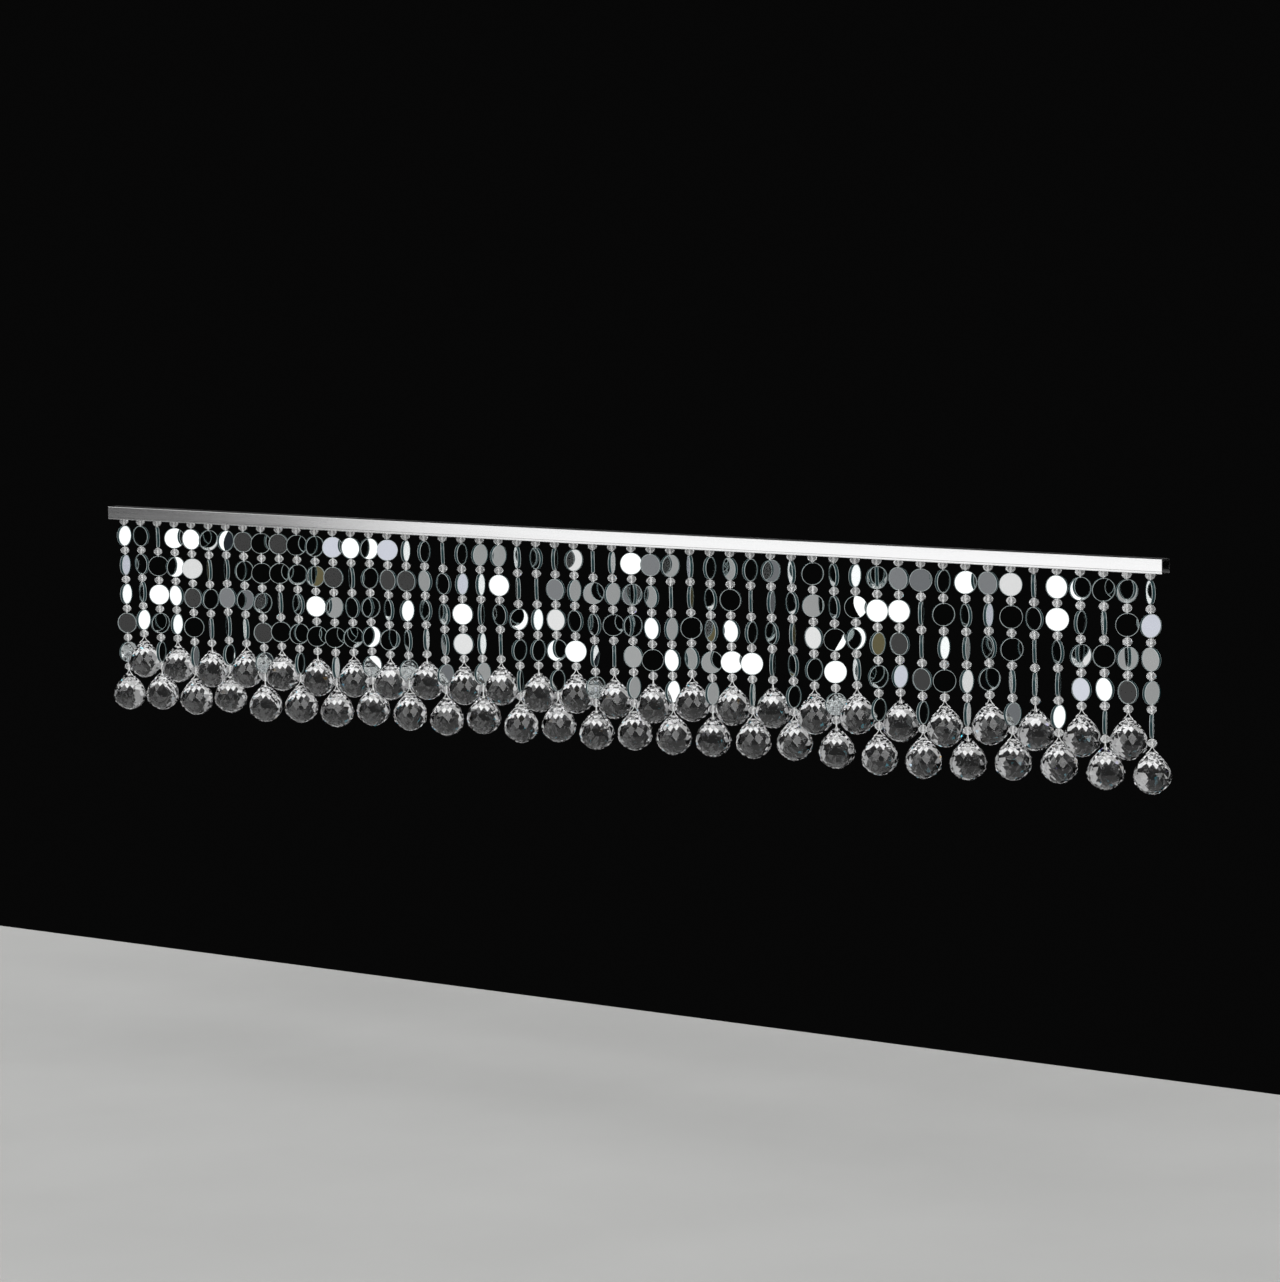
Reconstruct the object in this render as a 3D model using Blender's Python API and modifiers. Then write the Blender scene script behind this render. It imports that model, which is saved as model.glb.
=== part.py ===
import bpy
import bmesh
import random
from math import cos, pi, radians, sin

# Sizes are in metres. The origin is the middle of the rail's top face, +X runs along the rail,
# the front faces -Y and +Z is up.

# Neighbouring pieces keep this distance.
GAP = 0.0003

# The rail is a channel, open below and at both ends.
RAIL_LENGTH = 1.125
RAIL_DEPTH = 0.0112
RAIL_HEIGHT = 0.0112
RAIL_WALL = 0.0012
RAIL_ARRIS = 0.0003

# Two tapes lie end to end under the rail's web, and the threads are fixed in them.
TAPE_WIDTH = 0.006
TAPE_THICKNESS = 0.0016
TAPE_MARGIN = 0.010

# Strands are numbered from 1 at the left end. Odd ones are long, even ones short.
STRAND_COUNT = 53
STRAND_PITCH = 0.021
LAST_LEFT_STRAND = 27
LONG_DISCS = 5
SHORT_DISCS = 4

THREAD_SIZE = 0.001
FIRST_BEAD_DROP = 0.0132
BEAD_WIDTH = 0.0062
BEAD_HEIGHT = 0.0062
DISC_DIAMETER = 0.018
DISC_THICKNESS = 0.0034

# Height and half width of a disc's outline, as shares of its radius.
DISC_OUTLINE = (
    (1.00, 0.11),
    (0.48, 0.95),
    (-0.48, 0.95),
    (-1.00, 0.11),
)

# Under the last bead the thread parts into two legs, one on each side of the ball's cap.
FORK_WIDTH = 0.002
FORK_LEG = 0.0008
FORK_SPREAD = 0.005
FORK_REACH = 0.0012
FORK_TURNS = (-40, 0, 40)

# Radius and drop below the ball's top.
BALL_TOP_DROP = 0.0067
BALL_SIDES = 12
BALL_PROFILE = (
    (0.0000, 0.0000),
    (0.0030, 0.0000),
    (0.0122, 0.0103),
    (0.0150, 0.0180),
    (0.0108, 0.0288),
    (0.0000, 0.0325),
)

# Discs hang turned by chance, in steps of 10 degrees. The lowest disc of a long strand stands
# between two balls, so it keeps nearly edge-on to its neighbours.
CHANCE_SEED = 2
TURN_STEP = 10
ANY_TURN = range(-90, 90, TURN_STEP)
LOWEST_TURNS = (-90, -80, -70, -60, 60, 70, 80)

# From one bead to the next, and how much looser or tighter a strand may be threaded.
MEAN_SPACING = 0.0257
SPACING_SLACK = 0.0007

# Strands stand off their even places in a long wave along the rail.
DRIFT = 0.0025
DRIFT_STRANDS = 35
DRIFT_START = 2


def disc_count(number):
    return LONG_DISCS if number % 2 else SHORT_DISCS


# Spacing and disc turns in degrees of every strand, by its number.
def drawn_strands():
    chance = random.Random(CHANCE_SEED)
    strands = {}
    for number in range(1, STRAND_COUNT + 1):
        spacing = MEAN_SPACING + SPACING_SLACK * chance.uniform(-1, 1)
        turns = [chance.choice(ANY_TURN) for _ in range(SHORT_DISCS)]
        if disc_count(number) == LONG_DISCS:
            turns.append(chance.choice(LOWEST_TURNS))
        strands[number] = (spacing, turns)
    return strands


STRANDS = drawn_strands()


def clear_scene():
    for item in list(bpy.data.objects):
        bpy.data.objects.remove(item, do_unlink=True)


def new_collection(name):
    collection = bpy.data.collections.new(name)
    bpy.context.scene.collection.children.link(collection)
    return collection


def new_material(name, color, roughness, metallic, alpha=1.0):
    material = bpy.data.materials.new(name)
    material.use_nodes = True
    shader = material.node_tree.nodes["Principled BSDF"]
    shader.inputs["Base Color"].default_value = (*color, 1.0)
    shader.inputs["Roughness"].default_value = roughness
    shader.inputs["Metallic"].default_value = metallic
    shader.inputs["Alpha"].default_value = alpha
    return material


def new_object(name, mesh, collection, material=None):
    item = bpy.data.objects.new(name, mesh)
    collection.objects.link(item)
    if material:
        mesh.materials.append(material)
    return item


def strand_x(number):
    wave = cos(2 * pi * (number - DRIFT_START) / DRIFT_STRANDS)
    return (number - (STRAND_COUNT + 1) / 2) * STRAND_PITCH - DRIFT * wave


def strand_spacing(number):
    return STRANDS[number][0]


def disc_turn(number, row):
    return radians(STRANDS[number][1][row])


def fork_turn(number):
    return radians(FORK_TURNS[number % len(FORK_TURNS)])


def ball_top(number):
    return -FIRST_BEAD_DROP - disc_count(number) * strand_spacing(number) - BALL_TOP_DROP


# A four-cornered section of a strand, level, with its width turned about the thread.
def add_section(bm, x, z, width, thickness, turn, offset=0.0):
    corners = []
    for side, face in ((1, 1), (-1, 1), (-1, -1), (1, -1)):
        across = offset + side * width / 2
        deep = face * thickness / 2
        along_x = across * cos(turn) - deep * sin(turn)
        along_y = across * sin(turn) + deep * cos(turn)
        corners.append(bm.verts.new((x + along_x, along_y, z)))
    return corners


# Joins two sections corner to nearest corner, so that a turned one does not wring the sides.
def join_sections(bm, upper, lower):
    def length(shift):
        return sum((upper[k].co - lower[(k + shift) % 4].co).length for k in range(4))

    shift = min(range(4), key=length)
    for k in range(4):
        near = lower[(k + shift) % 4]
        far = lower[(k + 1 + shift) % 4]
        bm.faces.new((near, far, upper[(k + 1) % 4], upper[k]))


# Height, width, thickness and turn of every section of a strand, from its root to the fork.
def strand_sections(number):
    spacing = strand_spacing(number)
    count = disc_count(number)
    radius = DISC_DIAMETER / 2
    first_turn = disc_turn(number, 0)
    sections = [
        (-RAIL_WALL - GAP - TAPE_THICKNESS / 2, THREAD_SIZE, THREAD_SIZE, first_turn),
        (-FIRST_BEAD_DROP + BEAD_HEIGHT / 2, THREAD_SIZE, THREAD_SIZE, first_turn),
        (-FIRST_BEAD_DROP, BEAD_WIDTH, BEAD_WIDTH, first_turn),
    ]
    for row in range(count):
        turn = disc_turn(number, row)
        middle = -FIRST_BEAD_DROP - (row + 0.5) * spacing
        for height, half_width in DISC_OUTLINE:
            sections.append((middle + height * radius, half_width * DISC_DIAMETER, DISC_THICKNESS, turn))
        sections.append((middle - spacing / 2, BEAD_WIDTH, BEAD_WIDTH, turn))
    return sections


# The two legs of the thread share the crotch under the last bead and stand clear of the ball.
def add_fork(bm, bead, number):
    x = strand_x(number)
    turn = fork_turn(number)
    last_bead = ball_top(number) + BALL_TOP_DROP
    apex = add_section(bm, x, last_bead - BEAD_HEIGHT / 2, FORK_WIDTH, THREAD_SIZE, turn)
    join_sections(bm, bead, apex)
    middles = []
    for start, end in ((0, 1), (2, 3)):
        edge = bm.edges.get((apex[start], apex[end]))
        middles.append(bmesh.utils.edge_split(edge, apex[start], 0.5)[1])
    back, front = middles
    foot_height = ball_top(number) - FORK_REACH
    legs = ((1, (apex[0], back, front, apex[3])), (-1, (back, apex[1], apex[2], front)))
    for side, crotch in legs:
        foot = add_section(bm, x, foot_height, FORK_LEG, THREAD_SIZE, turn, side * FORK_SPREAD)
        join_sections(bm, crotch, foot)
        bm.faces.new(foot)


def add_strand(bm, number):
    x = strand_x(number)
    above = None
    for z, width, thickness, turn in strand_sections(number):
        section = add_section(bm, x, z, width, thickness, turn)
        if above:
            join_sections(bm, above, section)
        else:
            bm.faces.new(section)
        above = section
    add_fork(bm, above, number)


# One tape and the strands that are fixed in it, fused at their roots.
def make_strands(name, numbers, low_x, high_x, parts, cutters, material):
    bm = bmesh.new()
    for number in numbers:
        add_strand(bm, number)
    bmesh.ops.recalc_face_normals(bm, faces=bm.faces)
    mesh = bpy.data.meshes.new(name)
    bm.to_mesh(mesh)
    bm.free()
    strands = new_object(name, mesh, parts, material)

    bm = bmesh.new()
    bmesh.ops.create_cube(bm, size=1.0)
    bmesh.ops.scale(bm, vec=(high_x - low_x, TAPE_WIDTH, TAPE_THICKNESS), verts=bm.verts)
    tape_mesh = bpy.data.meshes.new(name + "_tape")
    bm.to_mesh(tape_mesh)
    bm.free()
    tape = new_object(name + "_tape", tape_mesh, cutters)
    tape.location = ((low_x + high_x) / 2, 0.0, -RAIL_WALL - GAP - TAPE_THICKNESS / 2)
    tape.hide_render = True
    tape.display_type = "WIRE"

    union = strands.modifiers.new("tape", "BOOLEAN")
    union.operation = "UNION"
    union.solver = "EXACT"
    union.object = tape


# The web and both flanges are an open sheet, thickened inwards and softened at its arrises.
def make_rail(parts, material):
    bm = bmesh.new()
    bmesh.ops.create_cube(bm, size=1.0)
    bmesh.ops.scale(bm, vec=(RAIL_LENGTH, RAIL_DEPTH, RAIL_HEIGHT), verts=bm.verts)
    bmesh.ops.translate(bm, vec=(0.0, 0.0, -RAIL_HEIGHT / 2), verts=bm.verts)
    openings = [face for face in bm.faces if abs(face.normal.x) > 0.5 or face.normal.z < -0.5]
    bmesh.ops.delete(bm, geom=openings, context="FACES")
    mesh = bpy.data.meshes.new("rail")
    bm.to_mesh(mesh)
    bm.free()
    rail = new_object("rail", mesh, parts, material)
    wall = rail.modifiers.new("wall", "SOLIDIFY")
    wall.thickness = RAIL_WALL
    wall.offset = -1.0
    wall.use_even_offset = True
    arris = rail.modifiers.new("arris", "BEVEL")
    arris.width = RAIL_ARRIS
    arris.segments = 1
    arris.limit_method = "ANGLE"


def ball_mesh(parts, material):
    mesh = bpy.data.meshes.new("ball_profile")
    points = [(radius, 0.0, -drop) for radius, drop in BALL_PROFILE]
    mesh.from_pydata(points, [(k, k + 1) for k in range(len(points) - 1)], [])
    form = new_object("ball_form", mesh, parts)
    screw = form.modifiers.new("turned", "SCREW")
    screw.steps = BALL_SIDES
    screw.render_steps = BALL_SIDES
    screw.use_merge_vertices = True
    screw.merge_threshold = 0.00001
    screw.use_smooth_shade = False
    graph = bpy.context.evaluated_depsgraph_get()
    turned = bpy.data.meshes.new_from_object(form.evaluated_get(graph))
    turned.name = "ball"
    turned.materials.append(material)
    bpy.data.objects.remove(form, do_unlink=True)
    return turned


def make_balls(parts, material):
    mesh = ball_mesh(parts, material)
    for number in range(1, STRAND_COUNT + 1):
        ball = new_object(f"ball_{number:02d}", mesh, parts)
        ball.location = (strand_x(number), 0.0, ball_top(number))
        ball.rotation_euler.z = fork_turn(number)


def main():
    clear_scene()
    parts = new_collection("crystal_toran")
    cutters = new_collection("cutters")
    satin_metal = new_material("satin_aluminium", (0.80, 0.81, 0.82), 0.35, 1.0)
    mirror = new_material("mirror_glass", (0.86, 0.89, 0.88), 0.05, 1.0)
    crystal = new_material("clear_crystal", (0.93, 0.95, 0.97), 0.02, 0.0, 0.4)

    make_rail(parts, satin_metal)
    seam_x = (strand_x(LAST_LEFT_STRAND) + strand_x(LAST_LEFT_STRAND + 1)) / 2
    left_x = strand_x(1) - TAPE_MARGIN
    right_x = strand_x(STRAND_COUNT) + TAPE_MARGIN
    left_numbers = range(1, LAST_LEFT_STRAND + 1)
    right_numbers = range(LAST_LEFT_STRAND + 1, STRAND_COUNT + 1)
    make_strands("strands_left", left_numbers, left_x, seam_x - GAP / 2, parts, cutters, mirror)
    make_strands("strands_right", right_numbers, seam_x + GAP / 2, right_x, parts, cutters, mirror)
    make_balls(parts, crystal)


main()
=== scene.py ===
import bpy
import bmesh
import random
from math import atan2, cos, degrees, pi, radians, sin
from mathutils import Matrix, Vector


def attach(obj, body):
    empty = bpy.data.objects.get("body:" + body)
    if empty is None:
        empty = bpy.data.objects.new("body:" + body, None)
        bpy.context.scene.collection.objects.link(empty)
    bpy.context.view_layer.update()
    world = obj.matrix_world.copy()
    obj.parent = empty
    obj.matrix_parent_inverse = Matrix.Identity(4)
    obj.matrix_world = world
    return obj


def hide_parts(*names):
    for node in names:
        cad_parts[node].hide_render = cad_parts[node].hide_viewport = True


# Metres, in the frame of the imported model: +X along the rail, front at -Y, +Z up,
# origin in the middle of the rail's top face.
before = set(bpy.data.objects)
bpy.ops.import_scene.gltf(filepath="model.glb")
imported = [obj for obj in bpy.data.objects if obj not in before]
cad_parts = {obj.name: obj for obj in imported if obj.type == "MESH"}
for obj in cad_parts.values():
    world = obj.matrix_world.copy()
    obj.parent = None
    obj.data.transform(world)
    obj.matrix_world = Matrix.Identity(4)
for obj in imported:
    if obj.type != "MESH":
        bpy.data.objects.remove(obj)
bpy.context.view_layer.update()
print("frame loaded:", len(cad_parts), "nodes")


# How the strands hang: odd ones are long, even ones short, and chance is seeded as in the part
hanging = {
    "strands": 53,
    "lastLeftStrand": 27,
    "pitch": 0.021,
    "longMirrors": 5,
    "shortMirrors": 4,
    "firstBeadDrop": 0.0132,
    "ballTopDrop": 0.0067,
    "forkTurns": (-40, 0, 40),
    "seed": 2,
    "turns": range(-90, 90, 10),
    "lowestTurns": (-90, -80, -70, -60, 60, 70, 80),
    "spacing": 0.0257,
    "slack": 0.0007,
    # a long wave along the rail
    "drift": 0.0025,
    "driftStrands": 35,
    "driftStart": 2,
}


def mirrorCount(number):
    return hanging["longMirrors"] if number % 2 else hanging["shortMirrors"]


def drawnStrands():
    # spacing and mirror turns in degrees of every strand, by its number
    chance = random.Random(hanging["seed"])
    strands = {}
    for number in range(1, hanging["strands"] + 1):
        spacing = hanging["spacing"] + hanging["slack"] * chance.uniform(-1, 1)
        turns = [chance.choice(hanging["turns"]) for _ in range(hanging["shortMirrors"])]
        if mirrorCount(number) == hanging["longMirrors"]:
            turns.append(chance.choice(hanging["lowestTurns"]))
        strands[number] = (spacing, turns)
    return strands


strands = drawnStrands()


def strandX(number):
    wave = cos(2 * pi * (number - hanging["driftStart"]) / hanging["driftStrands"])
    return (number - (hanging["strands"] + 1) / 2) * hanging["pitch"] - hanging["drift"] * wave


def strandSpacing(number):
    return strands[number][0]


def mirrorTurn(number, row):
    return strands[number][1][row]


def mirrorHeight(number, row):
    return -hanging["firstBeadDrop"] - (row + 0.5) * strandSpacing(number)


def beadHeight(number, row):
    return -hanging["firstBeadDrop"] - row * strandSpacing(number)


def lastBeadHeight(number):
    return beadHeight(number, mirrorCount(number))


def ballTop(number):
    return lastBeadHeight(number) - hanging["ballTopDrop"]


def forkTurn(number):
    return radians(hanging["forkTurns"][number % len(hanging["forkTurns"])])


strandNumbers = range(1, hanging["strands"] + 1)


# Camera at the photograph's angle
shot = {
    "place": (2.4953, -2.9931, 0.3499),
    "yaw": 39.258,
    "down": 6.490,
    "roll": -1.339,
    "lens": 132.8,
    "sensorWidth": 36,
}


def makeCamera():
    yaw, down, roll = radians(shot["yaw"]), radians(shot["down"]), radians(shot["roll"])
    ahead = Vector((-sin(yaw) * cos(down), cos(yaw) * cos(down), -sin(down)))
    levelRight = Vector((cos(yaw), sin(yaw), 0))
    levelUp = levelRight.cross(ahead)
    right = levelRight * cos(roll) + levelUp * sin(roll)
    up = levelUp * cos(roll) - levelRight * sin(roll)
    camera = bpy.data.objects.new("camera", bpy.data.cameras.new("camera"))
    camera.data.lens = shot["lens"]
    camera.data.sensor_fit = "HORIZONTAL"
    camera.data.sensor_width = shot["sensorWidth"]
    camera.data.clip_start = 0.1
    turned = Matrix((right, up, -ahead)).transposed().to_4x4()
    camera.matrix_world = Matrix.Translation(shot["place"]) @ turned
    bpy.context.scene.collection.objects.link(camera)
    bpy.context.scene.camera = camera


makeCamera()
print("camera set")


# Nodes written as plain sums
class Wire:
    # wraps a socket, so that an expression on values adds its Math nodes
    def __init__(self, socket):
        self.socket = socket

    def math(self, operation, *others, clamp=False):
        tree = self.socket.node.id_data
        node = tree.nodes.new("ShaderNodeMath")
        node.operation = operation
        node.use_clamp = clamp
        for slot, value in zip(node.inputs, (self, *others)):
            feed(tree, slot, value)
        return Wire(node.outputs[0])

    def reflected(self, operation, other):
        tree = self.socket.node.id_data
        node = tree.nodes.new("ShaderNodeMath")
        node.operation = operation
        feed(tree, node.inputs[0], other)
        feed(tree, node.inputs[1], self)
        return Wire(node.outputs[0])

    def __add__(self, other):
        return self.math("ADD", other)

    def __radd__(self, other):
        return self.reflected("ADD", other)

    def __sub__(self, other):
        return self.math("SUBTRACT", other)

    def __rsub__(self, other):
        return self.reflected("SUBTRACT", other)

    def __mul__(self, other):
        return self.math("MULTIPLY", other)

    def __truediv__(self, other):
        return self.math("DIVIDE", other)

    def __rtruediv__(self, other):
        return self.reflected("DIVIDE", other)

    def __gt__(self, other):
        return self.math("GREATER_THAN", other)

    def __lt__(self, other):
        return self.math("LESS_THAN", other)


def feed(tree, slot, value):
    if isinstance(value, Wire):
        tree.links.new(value.socket, slot)
    elif value is not None:
        slot.default_value = value


def addNode(tree, kind, settings=None, **inputs):
    # settings first, then the values or links of the sockets, named as on the node with _ for a space
    node = tree.nodes.new(kind)
    for name, value in (settings or {}).items():
        setattr(node, name, value)
    for name, value in inputs.items():
        feed(tree, node.inputs[name.replace("_", " ")], value)
    return node


def out(node, name=0):
    return Wire(node.outputs[name])


def newMaterial(name, **values):
    material = bpy.data.materials.new(name)
    material.use_nodes = True
    shader = material.node_tree.nodes["Principled BSDF"]
    for key, value in values.items():
        shader.inputs[key.replace("_", " ")].default_value = value
    return material, material.node_tree, shader


def objectPoint(tree):
    return out(addNode(tree, "ShaderNodeTexCoord"), "Object")


def stretched(tree, point, scale):
    mapping = addNode(tree, "ShaderNodeMapping", Vector=point)
    mapping.inputs["Scale"].default_value = scale
    return out(mapping)


def blendColors(tree, share, low, high):
    mix = addNode(tree, "ShaderNodeMix", {"data_type": "RGBA"})
    feed(tree, mix.inputs[0], share)
    feed(tree, mix.inputs[6], low)
    feed(tree, mix.inputs[7], high)
    return Wire(mix.outputs[2])


# Studio: soft light above and in front, black behind, and a low ring of panels that the mirrors show
studio = {
    "backdrop": 0.0023,
    "ring": {
        "white": (1.45, 1.42, 1.42),
        "light": (0.90, 0.86, 0.86),
        "bluish": (0.75, 0.74, 0.83),
        "medium": (0.39, 0.38, 0.38),
        "grey": (0.185, 0.185, 0.195),
        "brown": (0.15, 0.125, 0.065),
        "dark": (0.02, 0.024, 0.03),
        "black": (0.0, 0.0, 0.0),
    },
    # panels of the ring with their width in degrees, over and over all the way round
    "ringPanels": (
        ("black", 3.0), ("white", 3.5), ("dark", 1.0), ("grey", 2.5), ("medium", 2.5), ("light", 2.5),
        ("bluish", 2.5), ("brown", 2.5),
    ),
    # the panels' edges wave by so many degrees, once in so many degrees of height
    "ringWave": (0.07, 0.7),
    "ringHeights": (-22, 3),
    # azimuth from and to, height from and to, in degrees, and strength
    "roomLight": (
        (-180, 180, 46, 90, 0.9), (-180, 180, 57, 90, 2.6), (0, 80, 38, 62, 2.4), (-62, -5, 12, 38, 1.6),
        (-100, -20, -25, 6, 0.07), (100, 185, -45, -14, 0.35), (-185, -100, -45, -14, 0.35),
    ),
    # what clear glass shows: mirrored on its outside, and from inside
    "outerLight": ((-24, 14, 22, 60, 2.3), (46, 80, 5, 40, 3.2), (-180, 180, 60, 90, 2.5)),
    "innerLight": (
        (-30, 20, 20, 50, 1.2), (42, 92, 11, 52, 1.0), (-180, 180, 52, 66, 0.8), (-180, 180, 66, 90, 1.25),
        (-180, 180, -90, -34, 0.85),
    ),
    # from inside after a reflection there
    "bounceLight": ((130, 185, 4, 52, 0.8), (-185, -70, 4, 52, 0.8)),
    # straight through: lights at both sides, and a faint one behind
    "throughLight": ((105, 165, -22, 8, 0.30), (-105, -75, -22, 5, 0.30), (-178, -104, -36, 46, 0.016)),
    # from inside with a colour, where cut glass splits the light at an edge
    "flashes": (
        (20, 24, 20, 50, 2.2, (0.05, 0.75, 1.0)), (92, 96, 11, 52, 1.8, (0.35, 0.25, 1.0)),
        (-34, -30, 20, 50, 1.6, (1.0, 0.55, 0.12)), (165, 169, 3, 24, 1.0, (0.1, 0.6, 1.0)),
    ),
    "fade": 1.5,
}


def ringEdges():
    # where each panel starts and ends, in degrees within one round of them
    edges, start = [], 0.0
    for tone, width in studio["ringPanels"]:
        edges.append((tone, start, start + width))
        start += width
    return edges


ringPeriod = ringEdges()[-1][2]


def ringRamp(tree, azimuth, height):
    # the colour of the ring in a direction, which is in degrees
    reach, step = studio["ringWave"]
    waved = azimuth + (height * (2 * pi / step)).math("SINE") * reach
    ramp = addNode(tree, "ShaderNodeValToRGB", Fac=(waved / ringPeriod).math("FRACT"))
    ramp.color_ramp.interpolation = "CONSTANT"
    stops = ramp.color_ramp.elements
    stops.remove(stops[-1])
    for k, (tone, start, end) in enumerate(ringEdges()):
        stop = stops[0] if k == 0 else stops.new(start / ringPeriod)
        stop.position = start / ringPeriod
        stop.color = (*studio["ring"][tone], 1)
    return out(ramp, "Color")


def rising(value, start):
    return ((value - start) / studio["fade"]).math("ADD", 0, clamp=True)


def between(value, low, high):
    return rising(value, low) * rising(value * -1, -high)


def panelSum(azimuth, height, panels):
    total = 0.0
    for west, east, low, high, strength in panels:
        panel = between(height, low, high) * strength
        if east - west < 360:
            panel = panel * between(azimuth, west, east)
        total = panel + total
    return total


def makeWorld():
    world = bpy.data.worlds.new("studio")
    bpy.context.scene.world = world
    world.use_nodes = True
    tree = world.node_tree
    tree.nodes.clear()
    direction = out(addNode(tree, "ShaderNodeTexCoord"), "Generated")
    parts = addNode(tree, "ShaderNodeSeparateXYZ", Vector=direction)
    x, y, z = (out(parts, k) for k in range(3))
    azimuth = x.math("ARCTAN2", y * -1) * (180 / pi)
    height = z.math("ARCSINE") * (180 / pi)
    path = addNode(tree, "ShaderNodeLightPath")
    notCamera = 1 - out(path, "Is Camera Ray")

    # the ring shows only in mirrors behind glass, so that the metal stays calm
    once = (out(path, "Glossy Depth") > 0.5) * (out(path, "Glossy Depth") < 1.5)
    ringStrength = between(height, *studio["ringHeights"]) * once * out(path, "Is Transmission Ray")
    ring = addNode(tree, "ShaderNodeBackground", Color=ringRamp(tree, azimuth, height), Strength=ringStrength)

    sharp = out(path, "Is Singular Ray")
    inner = sharp * (out(path, "Transmission Depth") > 0.5)
    straight = inner * (out(path, "Glossy Depth") < 0.5)
    light = panelSum(azimuth, height, studio["roomLight"]) * (1 - sharp)
    light += panelSum(azimuth, height, studio["outerLight"]) * (sharp - inner)
    light += panelSum(azimuth, height, studio["innerLight"]) * inner
    light += panelSum(azimuth, height, studio["bounceLight"]) * (inner - straight)
    light += panelSum(azimuth, height, studio["throughLight"]) * straight
    color = (1, 1, 1, 1)
    for west, east, low, high, strength, tint in studio["flashes"]:
        flash = between(azimuth, west, east) * between(height, low, high) * inner
        color = blendColors(tree, flash, color, (*tint, 1))
        light += flash * strength
    soft = addNode(tree, "ShaderNodeBackground", Color=color, Strength=light * notCamera + studio["backdrop"])
    both = addNode(tree, "ShaderNodeAddShader")
    tree.links.new(ring.outputs[0], both.inputs[0])
    tree.links.new(soft.outputs[0], both.inputs[1])
    output = addNode(tree, "ShaderNodeOutputWorld")
    tree.links.new(both.outputs[0], output.inputs["Surface"])


# Cards: large soft lights beside the toran
cards = {
    # name: (middle, direction it faces in degrees, width, height, brightness, shows through glass only)
    "railCard": ((-0.783, -2.505, -0.197), 137.3, 2.62, 1.10, 0.84, False),
    "rightCard": ((0.68, 1.27, 0.2), 39.0, 1.10, 1.3, 0.30, True),
    "leftCard": ((-1.21, -0.26, 0.2), 39.0, 1.20, 1.3, 0.21, True),
}


def onlyThroughCrystal(light):
    # the mirrors don't show this card
    light.use_nodes = True
    tree = light.node_tree
    path = addNode(tree, "ShaderNodeLightPath")
    feed(tree, tree.nodes["Emission"].inputs["Strength"], out(path, "Glossy Depth") < 0.5)


def makeCards():
    # area lights stand for lit cards that the camera doesn't see
    for name, (middle, azimuth, width, height, brightness, throughGlass) in cards.items():
        light = bpy.data.lights.new(name, "AREA")
        light.shape = "RECTANGLE"
        light.size = width
        light.size_y = height
        light.energy = brightness * 4 * width * height
        lamp = bpy.data.objects.new(name, light)
        lamp.location = middle
        lamp.rotation_euler = (radians(-90), 0, radians(azimuth))
        lamp.visible_camera = False
        if throughGlass:
            onlyThroughCrystal(light)
        lamp.visible_transmission = throughGlass
        lamp.visible_glossy = not throughGlass
        lamp.visible_diffuse = not throughGlass
        bpy.context.scene.collection.objects.link(lamp)


# Floor
floorSize = {
    "drop": 0.45,
    "width": 3.4,
    "front": -1.4,
    "back": 0.2,
    "thickness": 0.04,
}


def makeFloor():
    # a pale slab below the toran, square to its row
    material, tree, shader = newMaterial("paleFloor", Roughness=0.7)
    point = objectPoint(tree)
    grain = out(addNode(tree, "ShaderNodeTexNoise", Vector=point, Scale=6.0, Detail=4.0), "Fac")
    shade = blendColors(tree, grain, (0.30, 0.30, 0.295, 1), (0.34, 0.34, 0.335, 1))
    feed(tree, shader.inputs["Base Color"], shade)
    depth = floorSize["back"] - floorSize["front"]
    middleY = (floorSize["back"] + floorSize["front"]) / 2
    middle = (0, middleY, -floorSize["drop"] - floorSize["thickness"] / 2)
    bm = bmesh.new()
    bmesh.ops.create_cube(bm, size=1.0)
    bmesh.ops.scale(bm, vec=(floorSize["width"], depth, floorSize["thickness"]), verts=bm.verts)
    bmesh.ops.translate(bm, vec=middle, verts=bm.verts)
    mesh = bpy.data.meshes.new("floor")
    bm.to_mesh(mesh)
    bm.free()
    mesh.materials.append(material)
    floor = bpy.data.objects.new("floor", mesh)
    bpy.context.scene.collection.objects.link(floor)


makeWorld()
makeCards()
makeFloor()
bpy.context.scene.view_settings.view_transform = "Standard"
print("studio lit")


# Sizes of the rail, which its finish needs too
rail = {
    "length": 1.125,
    "depth": 0.0112,
    "height": 0.0112,
    "wall": 0.0012,
    "cornerRadius": 0.0005,
    "cornerSteps": 5,
    "lipRadius": 0.00025,
    "lipSteps": 4,
    "grooveHeight": 0.0016,
    "grooveWidth": 0.0004,
    "grooveDepth": 0.00022,
    # how far the painted shade reaches past the groove and the inside
    "paintedShadeMargin": 0.0001,
    "paintedGrooveShade": 0.60,
    "paintedInsideShade": 0.07,
    "endSoftening": 0.000125,
    "sharpAbove": 25,
}


# Finishes
def within(value, low, high):
    return (value > low) * (value < high)


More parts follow.
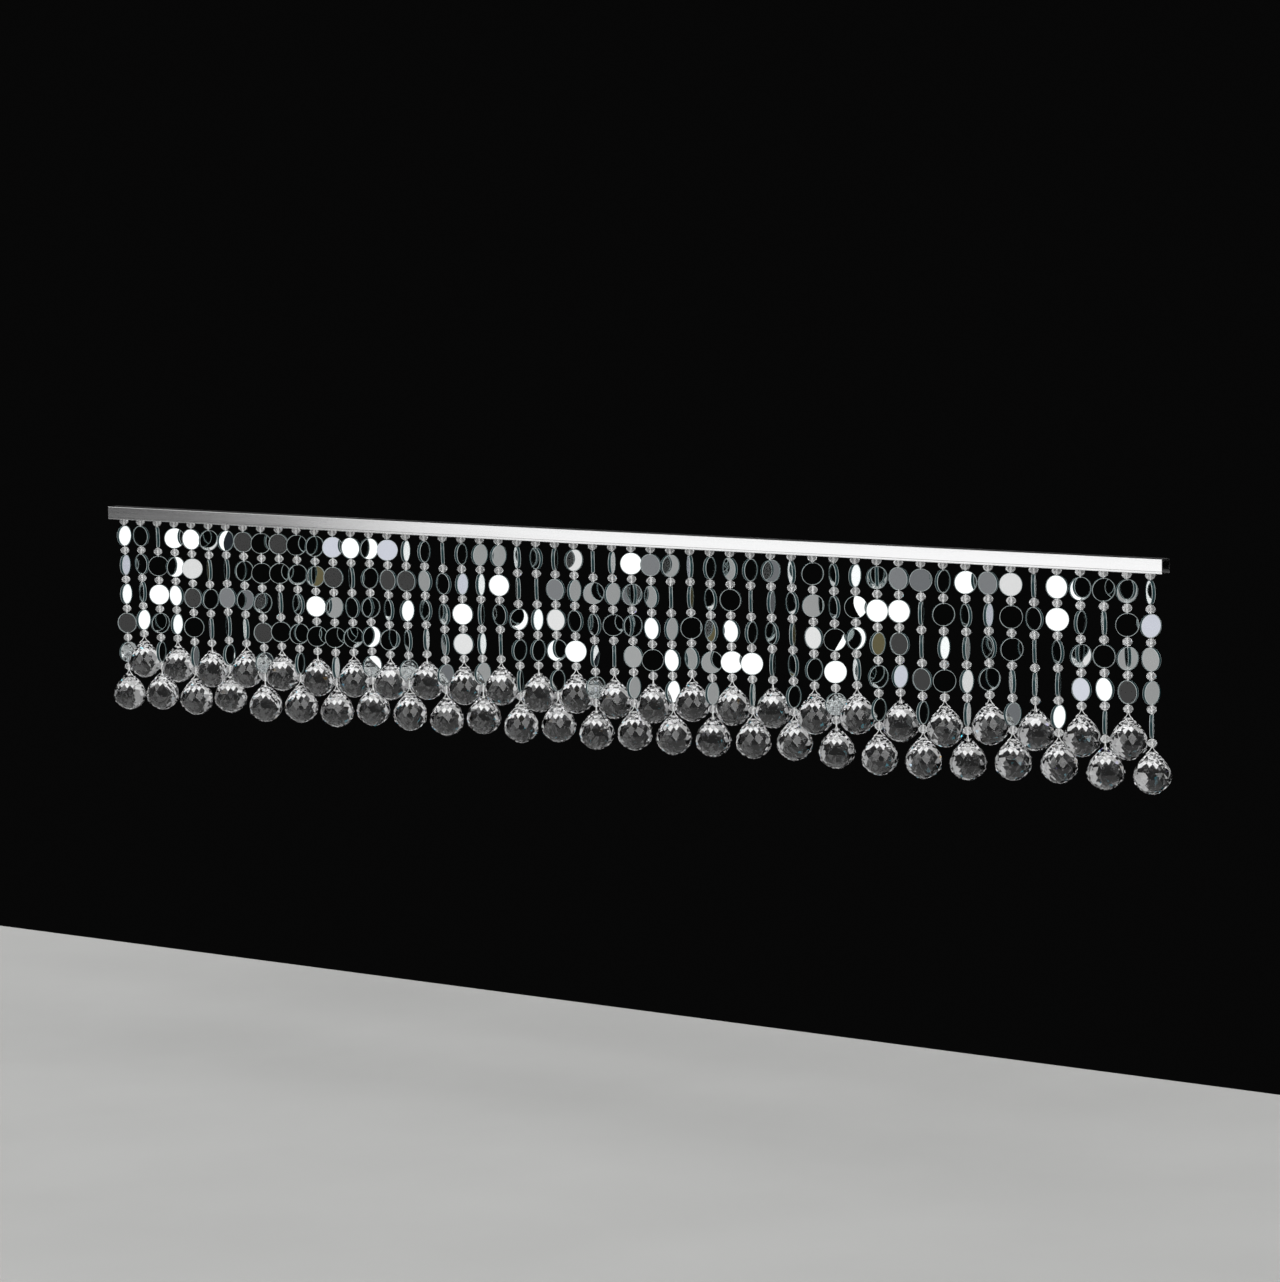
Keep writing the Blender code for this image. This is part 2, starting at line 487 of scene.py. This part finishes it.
def satinMetal():
    # drawn aluminium: fine streaks along the rail, a little duller in patches, with painted shade in the
    # groove and inside
    material, tree, shader = newMaterial("satinMetal", Metallic=1.0)
    point = objectPoint(tree)
    streaks = addNode(tree, "ShaderNodeTexNoise", Vector=stretched(tree, point, (6, 2600, 2600)), Scale=1.0,
                      Detail=3.0)
    patches = addNode(tree, "ShaderNodeTexNoise", Vector=stretched(tree, point, (9, 60, 60)), Scale=1.0,
                      Detail=2.0)
    streak, patch = out(streaks, "Fac"), out(patches, "Fac")
    feed(tree, shader.inputs["Roughness"], 0.13 + streak * 0.10 + patch * 0.06)
    shade = blendColors(tree, streak * 0.6 + patch * 0.4, (0.80, 0.80, 0.81, 1), (0.90, 0.90, 0.90, 1))
    place = addNode(tree, "ShaderNodeSeparateXYZ", Vector=point)
    deep, up = out(place, "Y").math("ABSOLUTE"), out(place, "Z")
    margin, wall = rail["paintedShadeMargin"], rail["wall"]
    groove = rail["grooveHeight"] - rail["height"]
    # painted shade: the groove's band on the outer flange is darkened, as shade falls in the recess
    paintedGrooveMask = within(up, groove - margin, groove + rail["grooveWidth"] + margin)
    inFlange = deep > rail["depth"] / 2 - wall
    shade = blendColors(tree, paintedGrooveMask * inFlange, shade, (*[rail["paintedGrooveShade"]] * 3, 1))
    # painted shade: the channel's inside is coloured nearly black, as shade falls there
    inside = (deep < rail["depth"] / 2 - wall + margin) * (up < margin - wall)
    shade = blendColors(tree, inside, shade, (*[rail["paintedInsideShade"]] * 3, 1))
    feed(tree, shader.inputs["Base Color"], shade)
    bump = addNode(tree, "ShaderNodeBump", Height=streak, Strength=0.12, Distance=0.00005)
    feed(tree, shader.inputs["Normal"], out(bump))
    return material


def silvering():
    # the silver layer between the two glasses of a mirror
    material, tree, shader = newMaterial("silvering", Metallic=1.0)
    point = objectPoint(tree)
    haze = out(addNode(tree, "ShaderNodeTexNoise", Vector=point, Scale=90.0, Detail=3.0), "Fac")
    feed(tree, shader.inputs["Roughness"], haze * 0.004)
    shade = blendColors(tree, haze, (0.90, 0.91, 0.91, 1), (0.95, 0.955, 0.955, 1))
    feed(tree, shader.inputs["Base Color"], shade)
    return material


def clearGlass(name, tint, lowTint, index, clear=1.0, paintedGlow=0.0, absorbed=None, density=0.0):
    material, tree, shader = newMaterial(name, Roughness=0.0, IOR=index, Transmission_Weight=clear)
    # painted light: glass given a glow shines white, though it is no lamp
    shader.inputs["Emission Color"].default_value = (1, 1, 1, 1)
    shader.inputs["Emission Strength"].default_value = paintedGlow
    point = objectPoint(tree)
    cast = out(addNode(tree, "ShaderNodeTexNoise", Vector=point, Scale=40.0, Detail=2.0), "Fac")
    feed(tree, shader.inputs["Base Color"], blendColors(tree, cast, (*lowTint, 1), (*tint, 1)))
    if absorbed:
        body = addNode(tree, "ShaderNodeVolumeAbsorption")
        body.inputs["Color"].default_value = (*absorbed, 1)
        body.inputs["Density"].default_value = density
        tree.links.new(body.outputs[0], tree.nodes["Material Output"].inputs["Volume"])
    return material


def rimWithPaintedLight():
    # a mirror's rim: green glass to both sides of the silver's pale line, with a painted highlight where it
    # is bevelled; the whole rim glows with painted light
    material, tree, shader = newMaterial("rimWithPaintedLight", Specular_IOR_Level=0.15, Emission_Strength=0.6)
    across = addNode(tree, "ShaderNodeAttribute", {"attribute_name": "across"})
    grain = out(addNode(tree, "ShaderNodeTexNoise", Vector=objectPoint(tree), Scale=900.0, Detail=2.0), "Fac")
    ramp = addNode(tree, "ShaderNodeValToRGB", Fac=out(across, "Fac").math("ABSOLUTE"))
    stops = ramp.color_ramp.elements
    stops[0].color = (0.06, 0.09, 0.09, 1)
    stops[1].color = (0.74, 0.80, 0.80, 1)
    # painted highlight: the pale bevel stop stands for light caught on the bevel
    green, deepGreen, bevel = (0.008, 0.036, 0.042, 1), (0.003, 0.018, 0.022, 1), (0.70, 0.76, 0.76, 1)
    for place, color in ((0.10, green), (0.5, deepGreen), (0.72, green), (0.78, bevel)):
        stops.new(place).color = color
    paintedGlow = blendColors(tree, grain * 0.5, out(ramp, "Color"), (0.012, 0.04, 0.045, 1))
    # painted light: the rim glows in these colours, though it is no lamp
    feed(tree, shader.inputs["Emission Color"], paintedGlow)
    feed(tree, shader.inputs["Base Color"], blendColors(tree, 0.6, paintedGlow, (0.0, 0.0, 0.0, 1)))
    feed(tree, shader.inputs["Roughness"], 0.16 + grain * 0.22)
    return material


def whiteThread():
    # twisted cotton: two plies that wind round the thread
    material, tree, shader = newMaterial("whiteThread", Roughness=0.65, Sheen_Weight=0.2)
    point = objectPoint(tree)
    plies = addNode(tree, "ShaderNodeTexWave", {"wave_type": "BANDS", "bands_direction": "DIAGONAL"},
                    Vector=point, Scale=900.0, Distortion=0.6)
    ply = out(plies, "Fac")
    shade = blendColors(tree, ply, (0.80, 0.80, 0.79, 1), (0.93, 0.93, 0.92, 1))
    feed(tree, shader.inputs["Base Color"], shade)
    # painted light: the thread glows faintly white, though it is no lamp
    shader.inputs["Emission Color"].default_value = (1, 1, 1, 1)
    shader.inputs["Emission Strength"].default_value = 0.22
    bump = addNode(tree, "ShaderNodeBump", Height=ply, Strength=0.5, Distance=0.0001)
    feed(tree, shader.inputs["Normal"], out(bump))
    return material


def wovenTape():
    material, tree, shader = newMaterial("wovenTape", Roughness=0.8)
    point = objectPoint(tree)
    warp = out(addNode(tree, "ShaderNodeTexWave", {"bands_direction": "X"}, Vector=point, Scale=520.0), "Fac")
    weft = out(addNode(tree, "ShaderNodeTexWave", {"bands_direction": "Y"}, Vector=point, Scale=520.0), "Fac")
    weave = warp * weft
    shade = blendColors(tree, weave, (0.55, 0.55, 0.53, 1), (0.86, 0.86, 0.84, 1))
    feed(tree, shader.inputs["Base Color"], shade)
    bump = addNode(tree, "ShaderNodeBump", Height=weave, Strength=0.6, Distance=0.0002)
    feed(tree, shader.inputs["Normal"], out(bump))
    return material


finishes = {
    "metal": satinMetal(),
    "silver": silvering(),
    "mirrorGlass": clearGlass("mirrorGlass", (0.99, 0.995, 0.995), (0.975, 0.985, 0.985), 1.52,
                              absorbed=(0.10, 0.60, 0.60), density=28.0),
    "edge": rimWithPaintedLight(),
    "crystal": clearGlass("crystal", (0.995, 0.995, 1.0), (0.975, 0.98, 0.99), 1.54),
    # the beads glow faintly with painted light
    "beadGlass": clearGlass("beadGlass", (0.995, 0.995, 1.0), (0.97, 0.98, 0.985), 1.54,
                            clear=0.87, paintedGlow=0.05),
    "thread": whiteThread(),
    "tape": wovenTape(),
}
print("finishes mixed")


# Rail
def roundedCorner(middleY, middleZ, radius, start, steps):
    # a quarter turn clockwise from the direction start, in degrees
    points = []
    for k in range(steps + 1):
        angle = radians(start - 90 * k / steps)
        points.append((middleY + radius * cos(angle), middleZ + radius * sin(angle)))
    return points


def railOutline():
    # half of the channel's section, on the back side, from the top's middle round to the web's underside
    half, wall, radius, lip = rail["depth"] / 2, rail["wall"], rail["cornerRadius"], rail["lipRadius"]
    groove, low = rail["grooveHeight"] - rail["height"], -rail["height"]
    outline = roundedCorner(half - radius, -radius, radius, 90, rail["cornerSteps"])
    outline += [
        (half, groove + rail["grooveWidth"]),
        (half - rail["grooveDepth"], groove + rail["grooveWidth"] * 0.75),
        (half - rail["grooveDepth"], groove + rail["grooveWidth"] * 0.25),
        (half, groove),
    ]
    outline += roundedCorner(half - lip, low + lip, lip, 0, rail["lipSteps"])
    outline += roundedCorner(half - wall + lip, low + lip, lip, 270, rail["lipSteps"])
    outline.append((half - wall, -wall))
    return outline


def makeRail():
    outline = railOutline()
    section = outline + [(-y, z) for y, z in reversed(outline)]
    bm = bmesh.new()
    ends = []
    for side in (-1, 1):
        ends.append([bm.verts.new((side * rail["length"] / 2, y, z)) for y, z in section])
    count = len(section)
    for k in range(count):
        bm.faces.new((ends[0][k], ends[0][(k + 1) % count], ends[1][(k + 1) % count], ends[1][k]))
    bm.faces.new(ends[0])
    bm.faces.new(ends[1])
    bmesh.ops.recalc_face_normals(bm, faces=bm.faces)
    rims = [edge for edge in bm.edges if abs(edge.verts[0].co.x - edge.verts[1].co.x) < 1e-6]
    bmesh.ops.bevel(bm, geom=rims, offset=rail["endSoftening"], segments=2, affect="EDGES",
                    clamp_overlap=True)
    mesh = bpy.data.meshes.new("railChannel")
    bm.to_mesh(mesh)
    bm.free()
    mesh.shade_smooth()
    mesh.set_sharp_from_angle(angle=radians(rail["sharpAbove"]))
    mesh.materials.append(finishes["metal"])
    channel = bpy.data.objects.new("railChannel", mesh)
    bpy.context.scene.collection.objects.link(channel)
    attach(channel, "root")
    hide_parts("rail")


makeRail()
print("rail drawn")


# Cut forms: the hull round a stack of rings
def cutForm(name, sizes, rings, smoothUnder=None, rimmed=False):
    # rings are rows of (share of the radius, share of the height, turned by half a step or not)
    tree = bpy.data.node_groups.new(name + "Rings", "GeometryNodeTree")
    face = tree.interface
    face.new_socket(name="Sides", in_out="INPUT", socket_type="NodeSocketInt")
    face.new_socket(name="Radius", in_out="INPUT", socket_type="NodeSocketFloat")
    face.new_socket(name="Height", in_out="INPUT", socket_type="NodeSocketFloat")
    face.new_socket(name="Geometry", in_out="OUTPUT", socket_type="NodeSocketGeometry")
    given = tree.nodes.new("NodeGroupInput")
    sides, radius, height = out(given, "Sides"), out(given, "Radius"), out(given, "Height")
    joined = tree.nodes.new("GeometryNodeJoinGeometry")
    for radiusShare, heightShare, halfTurned in rings:
        ring = addNode(tree, "GeometryNodeMeshCircle", Vertices=sides, Radius=radius * radiusShare)
        place = addNode(tree, "ShaderNodeCombineXYZ", Z=height * heightShare)
        turn = addNode(tree, "ShaderNodeCombineXYZ", Z=pi * halfTurned / sides)
        moved = addNode(tree, "GeometryNodeTransform", Geometry=out(ring), Translation=out(place),
                        Rotation=out(turn))
        tree.links.new(moved.outputs[0], joined.inputs[0])
    shape = out(addNode(tree, "GeometryNodeConvexHull", Geometry=out(joined)))
    if rimmed:
        shape = markRim(tree, shape, height)
    result = tree.nodes.new("NodeGroupOutput")
    tree.links.new(shape.socket, result.inputs["Geometry"])
    return treeMesh(name, tree, bpy.data.meshes.new(name), sizes, smoothUnder)


def markRim(tree, shape, height):
    # stores which faces are the rim's, and how far across the rim each point is, from -1 to 1
    normal = addNode(tree, "ShaderNodeSeparateXYZ", Vector=out(tree.nodes.new("GeometryNodeInputNormal")))
    point = addNode(tree, "ShaderNodeSeparateXYZ", Vector=out(tree.nodes.new("GeometryNodeInputPosition")))
    onRim = out(normal, "Z").math("ABSOLUTE") < 0.9
    marked = addNode(tree, "GeometryNodeStoreNamedAttribute", {"data_type": "BOOLEAN", "domain": "FACE"},
                     Geometry=shape, Name="rim")
    feed(tree, [slot for slot in marked.inputs if slot.name == "Value" and slot.enabled][0], onRim)
    spread = addNode(tree, "GeometryNodeStoreNamedAttribute", {"data_type": "FLOAT", "domain": "POINT"},
                     Geometry=out(marked), Name="across")
    feed(tree, [slot for slot in spread.inputs if slot.name == "Value" and slot.enabled][0],
         out(point, "Z") / height * 2)
    return out(spread)


def treeMesh(name, tree, data, values, smoothUnder=None):
    # runs a tree on the data and gives the result as a plain mesh
    holder = bpy.data.objects.new(name, data)
    bpy.context.scene.collection.objects.link(holder)
    modifier = holder.modifiers.new("made", "NODES")
    modifier.node_group = tree
    sockets = {item.name: item.identifier for item in tree.interface.items_tree if item.in_out == "INPUT"}
    for key, value in values.items():
        modifier[sockets[key]] = value
    graph = bpy.context.evaluated_depsgraph_get()
    mesh = bpy.data.meshes.new_from_object(holder.evaluated_get(graph))
    mesh.name = name
    bpy.data.objects.remove(holder)
    if smoothUnder:
        mesh.shade_smooth()
        mesh.set_sharp_from_angle(angle=radians(smoothUnder))
    return mesh


# What hangs: copies of a form, one at each point of a mesh
def hangTree():
    tree = bpy.data.node_groups.new("hungCopies", "GeometryNodeTree")
    face = tree.interface
    face.new_socket(name="Geometry", in_out="INPUT", socket_type="NodeSocketGeometry")
    face.new_socket(name="Form", in_out="INPUT", socket_type="NodeSocketObject")
    face.new_socket(name="Size", in_out="INPUT", socket_type="NodeSocketFloat")
    face.new_socket(name="Finish", in_out="INPUT", socket_type="NodeSocketMaterial")
    face.new_socket(name="Rim Finish", in_out="INPUT", socket_type="NodeSocketMaterial")
    face.new_socket(name="Geometry", in_out="OUTPUT", socket_type="NodeSocketGeometry")
    given = tree.nodes.new("NodeGroupInput")
    form = addNode(tree, "GeometryNodeObjectInfo", Object=out(given, "Form"))
    turn = addNode(tree, "GeometryNodeInputNamedAttribute", {"data_type": "FLOAT_VECTOR"}, Name="turn")
    rotation = addNode(tree, "FunctionNodeEulerToRotation", Euler=out(turn))
    copies = addNode(tree, "GeometryNodeInstanceOnPoints", Points=out(given, "Geometry"),
                     Instance=out(form, "Geometry"), Rotation=out(rotation), Scale=out(given, "Size"))
    real = addNode(tree, "GeometryNodeRealizeInstances", Geometry=out(copies))
    painted = addNode(tree, "GeometryNodeSetMaterial", Geometry=out(real), Material=out(given, "Finish"))
    onRim = addNode(tree, "GeometryNodeInputNamedAttribute", {"data_type": "BOOLEAN"}, Name="rim")
    rimmed = addNode(tree, "GeometryNodeSetMaterial", Geometry=out(painted), Selection=out(onRim),
                     Material=out(given, "Rim Finish"))
    result = tree.nodes.new("NodeGroupOutput")
    tree.links.new(rimmed.outputs[0], result.inputs["Geometry"])
    return tree


hungCopies = hangTree()


def hangForms(name, formMesh, spots, finish, nodes, rimFinish=None):
    # spots are pairs of a place and the form's turn there
    form = bpy.data.objects.new(name + "Form", formMesh)
    bpy.context.scene.collection.objects.link(form)
    places = bpy.data.meshes.new(name)
    places.from_pydata([place for place, turn in spots], [], [])
    turns = places.attributes.new("turn", "FLOAT_VECTOR", "POINT")
    turns.data.foreach_set("vector", [value for place, turn in spots for value in turn])
    values = {"Form": form, "Size": 1.0, "Finish": finish, "Rim Finish": rimFinish or finish}
    mesh = treeMesh(name, hungCopies, places, values)
    bpy.data.objects.remove(form)
    return ridePiece(name, mesh, nodes)


def ridePiece(name, mesh, nodes):
    piece = bpy.data.objects.new(name, mesh)
    bpy.context.scene.collection.objects.link(piece)
    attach(piece, "root")
    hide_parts(*nodes)
    print(name, "made:", len(mesh.polygons), "faces")
    return piece


strandNodes = ("strands_left", "strands_right")


# Mirrors: two glasses back to back with the silver between them
mirror = {
    "sides": 48,
    "radius": 0.009,
    "thickness": 0.0027,
    "arris": 0.0002,
    "silverInset": 0.00025,
    "silverThickness": 0.00012,
    # about how many in a hundred show a panel of the ring, or an edge between two of them
    "tones": {
        "black": 38,
        "white": 24,
        "medium": 12,
        "grey": 9,
        "light": 6,
        "bluish": 4,
        "brown": 3,
        "blackBesideWhite": 1,
        "whiteBesideDark": 3,
    },
    # the panel at whose start such an edge lies
    "halfTones": {"blackBesideWhite": "white", "whiteBesideDark": "dark"},
    # in degrees: how far inside its panel a mirror aims, and how far it may lean forward or back
    "margin": 0.6,
    "slack": 0.8,
    "seed": 11,
}


def aimedTurn(turn, toCamera, tone):
    # a mirror's turn, shifted as little as it takes to face a panel of its tone squarely
    edges = {name: (start, end) for name, start, end in ringEdges()}
    if tone in mirror["halfTones"]:
        middle, free = edges[mirror["halfTones"][tone]][0], 0.0
    else:
        start, end = edges[tone]
        middle, free = (start + end) / 2, (end - start) / 2 - mirror["margin"]
    away = (middle - 2 * turn + toCamera + ringPeriod / 2) % ringPeriod - ringPeriod / 2
    shift = max(away - free, 0) + min(away + free, 0)
    return turn + shift / 2


def mirrorSpots():
    chance = random.Random(mirror["seed"])
    tones, shares = list(mirror["tones"]), list(mirror["tones"].values())
    spots = []
    for number in strandNumbers:
        x = strandX(number)
        toCamera = degrees(atan2(shot["place"][0] - x, -shot["place"][1]))
        for row in range(mirrorCount(number)):
            tone = chance.choices(tones, shares)[0]
            turn = aimedTurn(mirrorTurn(number, row), toCamera, tone)
            lean = chance.uniform(-1, 1) * mirror["slack"]
            place = (x, 0.0, mirrorHeight(number, row))
            spots.append((place, (radians(90 + lean), 0.0, radians(turn))))
    return spots


def makeMirrors():
    flat = 1 - mirror["arris"] / mirror["radius"]
    edge = 0.5 - mirror["arris"] / mirror["thickness"]
    glassRings = ((flat, 0.5, 0), (1, edge, 0), (1, -edge, 0), (flat, -0.5, 0))
    glassSizes = {"Sides": mirror["sides"], "Radius": mirror["radius"], "Height": mirror["thickness"]}
    silverSizes = {
        "Sides": mirror["sides"],
        "Radius": mirror["radius"] - mirror["silverInset"],
        "Height": mirror["silverThickness"],
    }
    glass = cutForm("glassForm", glassSizes, glassRings, smoothUnder=30, rimmed=True)
    silver = cutForm("silverForm", silverSizes, ((1, 0.5, 0), (1, -0.5, 0)), smoothUnder=30)
    spots = mirrorSpots()
    hangForms("mirrorGlasses", glass, spots, finishes["mirrorGlass"], strandNodes,
              finishes["edge"])
    hangForms("mirrorSilver", silver, spots, finishes["silver"], strandNodes)


makeMirrors()


# Beads
bead = {
    "sides": 10,
    "radius": 0.004,
    "height": 0.0062,
    "rings": ((0.40, 0.5, 0), (0.84, 0.27, 1), (1.0, 0.0, 0), (0.84, -0.27, 1), (0.40, -0.5, 0)),
    "seed": 5,
}


def makeBeads():
    sizes = {"Sides": bead["sides"], "Radius": bead["radius"], "Height": bead["height"]}
    form = cutForm("beadForm", sizes, bead["rings"])
    chance = random.Random(bead["seed"])
    spots = []
    for number in strandNumbers:
        for row in range(mirrorCount(number) + 1):
            place = (strandX(number), 0.0, beadHeight(number, row))
            spots.append((place, (0.0, 0.0, chance.uniform(0, 2 * pi))))
    hangForms("glassBeads", form, spots, finishes["beadGlass"], strandNodes)


makeBeads()


# Balls
ball = {
    "sides": 12,
    "radius": 0.015,
    "height": 0.0325,
    # radius and drop below the top, and whether the ring is turned by half a step
    "rings": (
        (0.0030, 0.0, 0), (0.0097, 0.0072, 0), (0.0117, 0.0097, 1), (0.0140, 0.0144, 0), (0.0150, 0.0194, 1),
        (0.0136, 0.0246, 0), (0.0098, 0.0290, 1), (0.0054, 0.0315, 0), (0.0023, 0.0325, 1),
    ),
    "holeDrop": 0.0016,
    "holeReach": 0.0045,
}


def ballMesh():
    wide, tall = ball["radius"], ball["height"]
    rings = [(radius / wide, -drop / tall, turned) for radius, drop, turned in ball["rings"]]
    sizes = {"Sides": ball["sides"], "Radius": ball["radius"], "Height": ball["height"]}
    return cutForm("ballForm", sizes, rings)


def makeBalls():
    spots = [((strandX(n), 0.0, ballTop(n)), (0.0, 0.0, forkTurn(n))) for n in strandNumbers]
    nodes = [f"ball_{number:02d}" for number in strandNumbers]
    hangForms("crystalBalls", ballMesh(), spots, finishes["crystal"], nodes)


makeBalls()


# Threads
thread = {
    "radius": 0.00046,
    "legRadius": 0.00031,
    "sides": 8,
    "root": -0.0023,
    "rimBite": 0.0006,
    "crotchRise": 0.0024,
    "legSpread": 0.0021,
}


def threadTree():
    tree = bpy.data.node_groups.new("roundThread", "GeometryNodeTree")
    face = tree.interface
    face.new_socket(name="Geometry", in_out="INPUT", socket_type="NodeSocketGeometry")
    face.new_socket(name="Sides", in_out="INPUT", socket_type="NodeSocketInt")
    face.new_socket(name="Radius", in_out="INPUT", socket_type="NodeSocketFloat")
    face.new_socket(name="Finish", in_out="INPUT", socket_type="NodeSocketMaterial")
    face.new_socket(name="Geometry", in_out="OUTPUT", socket_type="NodeSocketGeometry")
    given = tree.nodes.new("NodeGroupInput")
    ring = addNode(tree, "GeometryNodeCurvePrimitiveCircle", Resolution=out(given, "Sides"),
                   Radius=out(given, "Radius"))
    tube = addNode(tree, "GeometryNodeCurveToMesh", Curve=out(given, "Geometry"), Profile_Curve=out(ring),
                   Fill_Caps=True)
    painted = addNode(tree, "GeometryNodeSetMaterial", Geometry=out(tube), Material=out(given, "Finish"))
    result = tree.nodes.new("NodeGroupOutput")
    tree.links.new(painted.outputs[0], result.inputs["Geometry"])
    return tree


roundThread = threadTree()


def threadCurves(name, lines):
    curve = bpy.data.curves.new(name, "CURVE")
    curve.dimensions = "3D"
    for points in lines:
        spline = curve.splines.new("POLY")
        spline.points.add(len(points) - 1)
        for point, place in zip(spline.points, points):
            point.co = (*place, 1)
    return curve


def strandLines(number):
    # the thread shows between the mirrors and runs on through the beads
    x = strandX(number)
    reach = mirror["radius"] - thread["rimBite"]
    tops = [thread["root"]] + [mirrorHeight(number, row) - reach for row in range(mirrorCount(number))]
    ends = [mirrorHeight(number, row) + reach for row in range(mirrorCount(number))]
    ends.append(lastBeadHeight(number) - thread["crotchRise"])
    return [((x, 0.0, top), (x, 0.0, end)) for top, end in zip(tops, ends)]


def loopLine(number):
    # from the last bead down one leg, through the ball's cross hole and up the other leg
    hole, reach, spread = ball["holeDrop"], ball["holeReach"], thread["legSpread"]
    rise = hanging["ballTopDrop"] - thread["crotchRise"]
    half = [(0.0002, rise), (spread * 0.5, rise * 0.52), (spread, 0.0006), (spread + 0.0008, 0.0001),
            (reach * 0.84, -hole * 0.42), (reach, -hole * 0.9), (reach - 0.0006, -hole)]
    path = half + [(0.0, -hole)] + [(-across, up) for across, up in reversed(half)]
    turn = forkTurn(number)
    top = ballTop(number)
    return [(strandX(number) + across * cos(turn), across * sin(turn), top + up) for across, up in path]


def makeThreads():
    straight = [line for number in strandNumbers for line in strandLines(number)]
    loops = [loopLine(number) for number in strandNumbers]
    kinds = (("threads", straight, thread["radius"]), ("threadLoops", loops, thread["legRadius"]))
    for name, lines, radius in kinds:
        values = {"Sides": thread["sides"], "Radius": radius, "Finish": finishes["thread"]}
        mesh = treeMesh(name, roundThread, threadCurves(name, lines), values)
        mesh.shade_smooth()
        ridePiece(name, mesh, strandNodes)


makeThreads()


# Tapes under the rail's web
tape = {
    "width": 0.006,
    "thickness": 0.0016,
    "top": -0.0015,
    "margin": 0.010,
    "gap": 0.0003,
    "softening": 0.0004,
}


def makeTapes():
    last = hanging["lastLeftStrand"]
    seam = (strandX(last) + strandX(last + 1)) / 2
    spans = (
        ("tapeLeft", strandX(1) - tape["margin"], seam - tape["gap"] / 2, "strands_left"),
        ("tapeRight", seam + tape["gap"] / 2, strandX(hanging["strands"]) + tape["margin"], "strands_right"),
    )
    for name, low, high, node in spans:
        bm = bmesh.new()
        bmesh.ops.create_cube(bm, size=1.0)
        bmesh.ops.scale(bm, vec=(high - low, tape["width"], tape["thickness"]), verts=bm.verts)
        middle = ((low + high) / 2, 0, tape["top"] - tape["thickness"] / 2)
        bmesh.ops.translate(bm, vec=middle, verts=bm.verts)
        bmesh.ops.bevel(bm, geom=bm.edges[:], offset=tape["softening"], segments=2, affect="EDGES")
        mesh = bpy.data.meshes.new(name)
        bm.to_mesh(mesh)
        bm.free()
        mesh.materials.append(finishes["tape"])
        ridePiece(name, mesh, (node,))


makeTapes()
